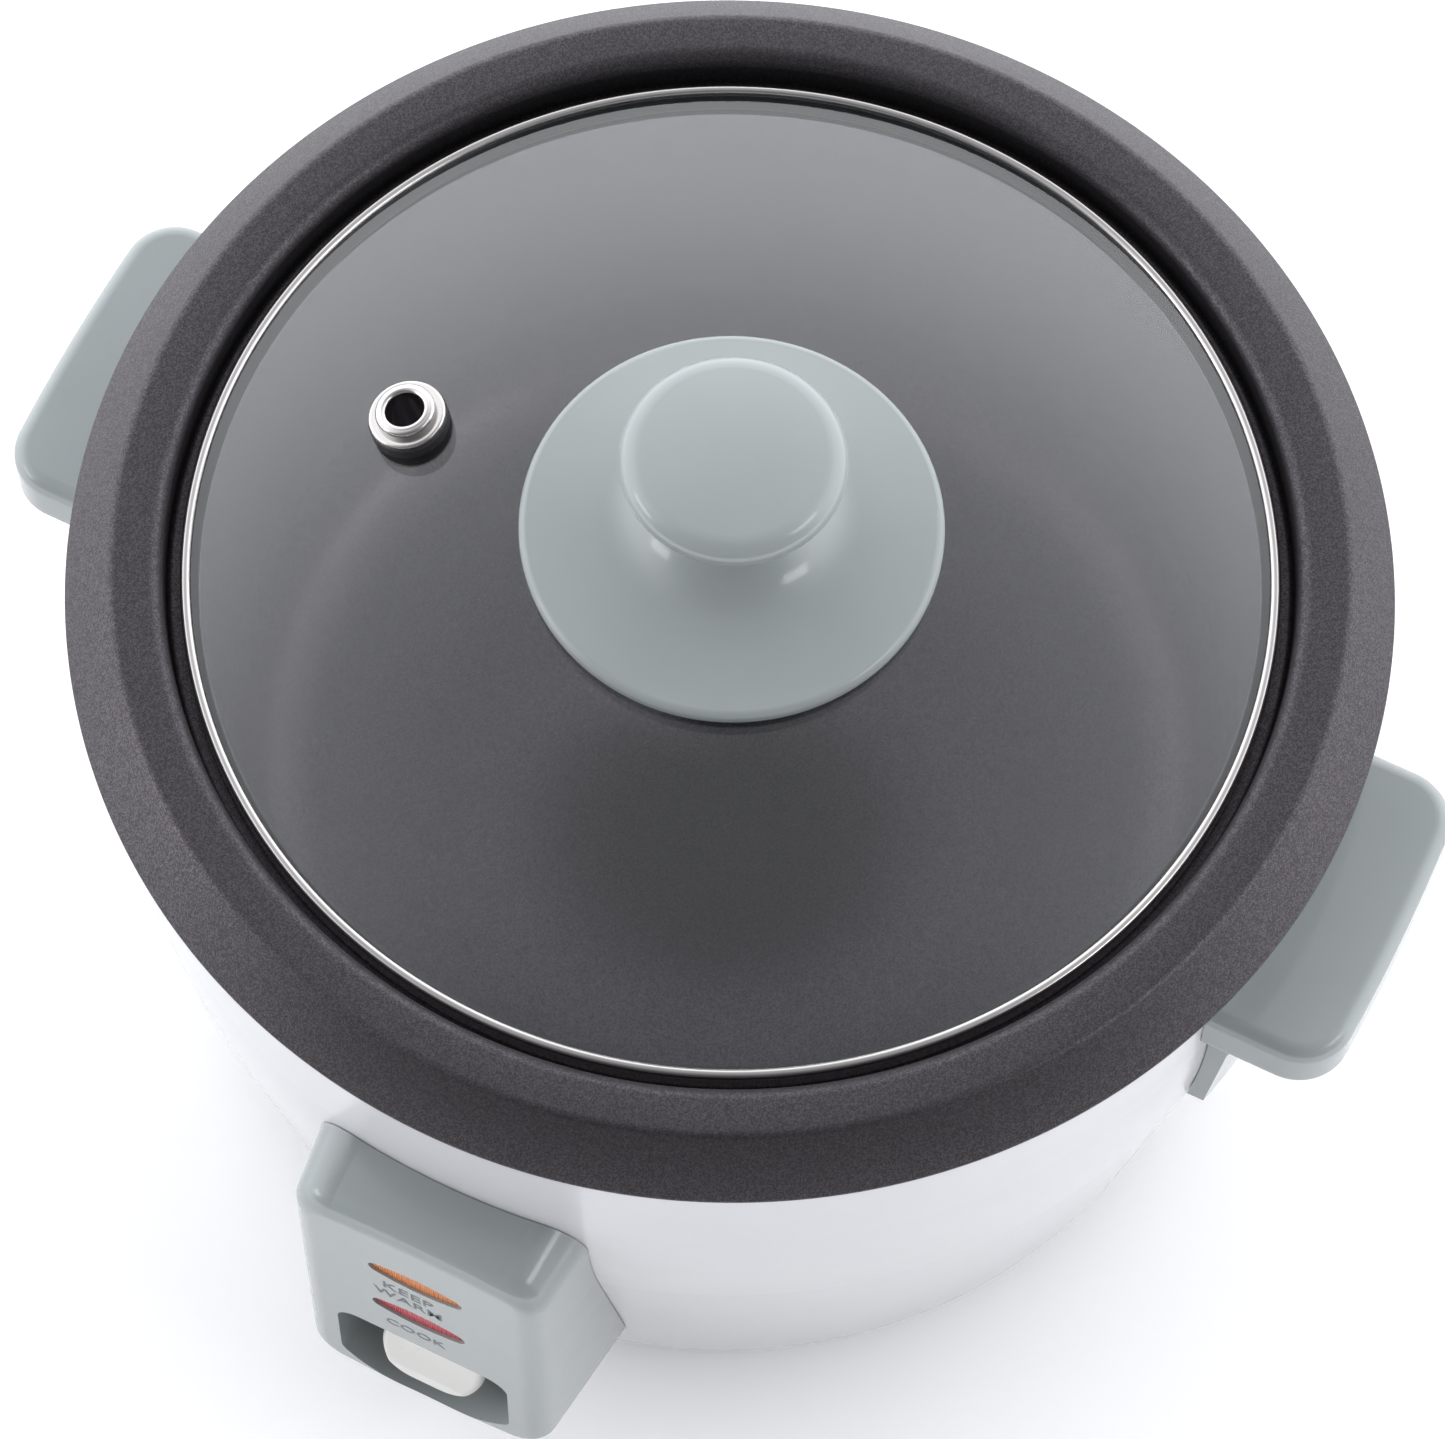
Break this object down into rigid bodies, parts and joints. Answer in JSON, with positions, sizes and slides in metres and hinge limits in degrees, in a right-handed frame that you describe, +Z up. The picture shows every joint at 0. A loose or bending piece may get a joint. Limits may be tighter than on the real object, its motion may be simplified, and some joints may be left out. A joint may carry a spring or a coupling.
{
  "type": "rice cooker",
  "caption": "One-touch rice cooker: round steel body with side handles, lift-out non-stick pan, domed glass lid with knob, and a front switch housing with a cook lever.",
  "frame": {"origin": "on the surface that the feet stand on, under the pan's axis", "axes": "+Z up along the pan's axis, front with the switch at -Y, handles at +X and -X"},
  "size_m": [0.274, 0.2505, 0.2042],
  "materials": {
    "body_enamel": "gloss white enamel",
    "pan_coating": "dark metallic non-stick, satin",
    "lid_glass": "clear, slightly grey, polished",
    "rim_steel": "polished stainless",
    "grey_plastic": "sage grey, gloss",
    "clear_rubber": "translucent silicone",
    "black_rubber": "matt",
    "screw_steel": "zinc plated",
    "plated_steel": "zinc plated sheet",
    "cast_aluminium": "machined casting",
    "element_steel": "heat tinted",
    "ferrite": "dark sintered",
    "white_plastic": "warm white, satin",
    "black_plastic": "moulded, matt",
    "brass_fitting": "turned",
    "amber_lens": "translucent amber",
    "red_lens": "translucent red",
    "lamp_glass": "clear"
  },
  "bodies": {
    "root": {"outer_body": "body_enamel", "heat_shield": "plated_steel", "heating_plate": "cast_aluminium", "heating_element": "element_steel", "element_terminals": "screw_steel", "plate_spacers": "plated_steel", "plate_screws": "screw_steel", "base_plate": "plated_steel", "base_posts": "plated_steel", "base_screws": "screw_steel", "feet": "black_rubber", "thermostat_sleeve": "plated_steel", "lever_bracket": "plated_steel", "lever_pin": "screw_steel", "microswitch": "black_plastic", "switch_bracket": "plated_steel", "microswitch_screws": "screw_steel", "warm_thermostat_can": "cast_aluminium", "warm_thermostat_case": "black_plastic", "thermal_fuse": "brass_fitting", "fuse_clip": "plated_steel", "switch_housing": "grey_plastic", "lens_warm": "amber_lens", "lens_cook": "red_lens", "lamp_warm": "lamp_glass", "lamp_cook": "lamp_glass", "lamp_holder": "black_plastic", "lamp_screws": "screw_steel", "housing_screws": "screw_steel", "handle_right": "grey_plastic", "handle_left": "grey_plastic", "handle_screws": "screw_steel", "power_inlet": "black_plastic", "inlet_pins": "brass_fitting", "terminal_block": "white_plastic", "terminal_screws": "brass_fitting"},
    "pan": {"inner_pan": "pan_coating"},
    "lid": {"lid_glass": "lid_glass", "lid_rim_ring": "rim_steel", "lid_knob": "grey_plastic", "knob_washer": "clear_rubber", "knob_screw": "screw_steel", "vent_gasket": "black_rubber", "vent_eyelet": "rim_steel"},
    "lever": {"cook_lever": "plated_steel", "switch_tab": "white_plastic"},
    "sensor": {"sensor_cap": "cast_aluminium", "sensor_ferrite": "ferrite", "sensor_spring": "screw_steel"},
    "plunger": {"magnet": "ferrite", "magnet_holder": "plated_steel", "magnet_spring": "screw_steel"},
    "button": {"microswitch_button": "white_plastic"}
  },
  "joints": [
    {"name": "pan_lift", "type": "slide", "parent": "root", "child": "pan", "axis": [0, 0, 1], "range_m": [0, 0.16]},
    {"name": "lid_lift", "type": "slide", "parent": "pan", "child": "lid", "axis": [0, 0, 1], "range_m": [0, 0.1]},
    {"name": "cook_switch", "type": "hinge", "parent": "root", "child": "lever", "pos_m": [0, -0.06199, 0.0325], "axis": [1, 0, 0], "range_deg": [0, 5], "stiffness_Nm_per_rad": 0.05, "springref_deg": -22.92},
    {"name": "magnet_lift", "type": "slide", "parent": "root", "child": "plunger", "axis": [0, 0, 1], "range_m": [0, 0.0056], "deforming": ["magnet_spring"]},
    {"name": "sensor_press", "type": "slide", "parent": "root", "child": "sensor", "axis": [0, 0, 1], "range_m": [-0.0015, 0], "stiffness_N_per_m": 500, "springref_m": 0.003, "deforming": ["sensor_spring"]},
    {"name": "button_press", "type": "slide", "parent": "root", "child": "button", "axis": [0, 0, 1], "range_m": [-0.0021, 0]}
  ],
  "couplings": [
    {"joint": "magnet_lift", "follows": "cook_switch", "m_per_rad": 0.063},
    {"joint": "button_press", "follows": "cook_switch", "m_per_rad": -0.023}
  ]
}
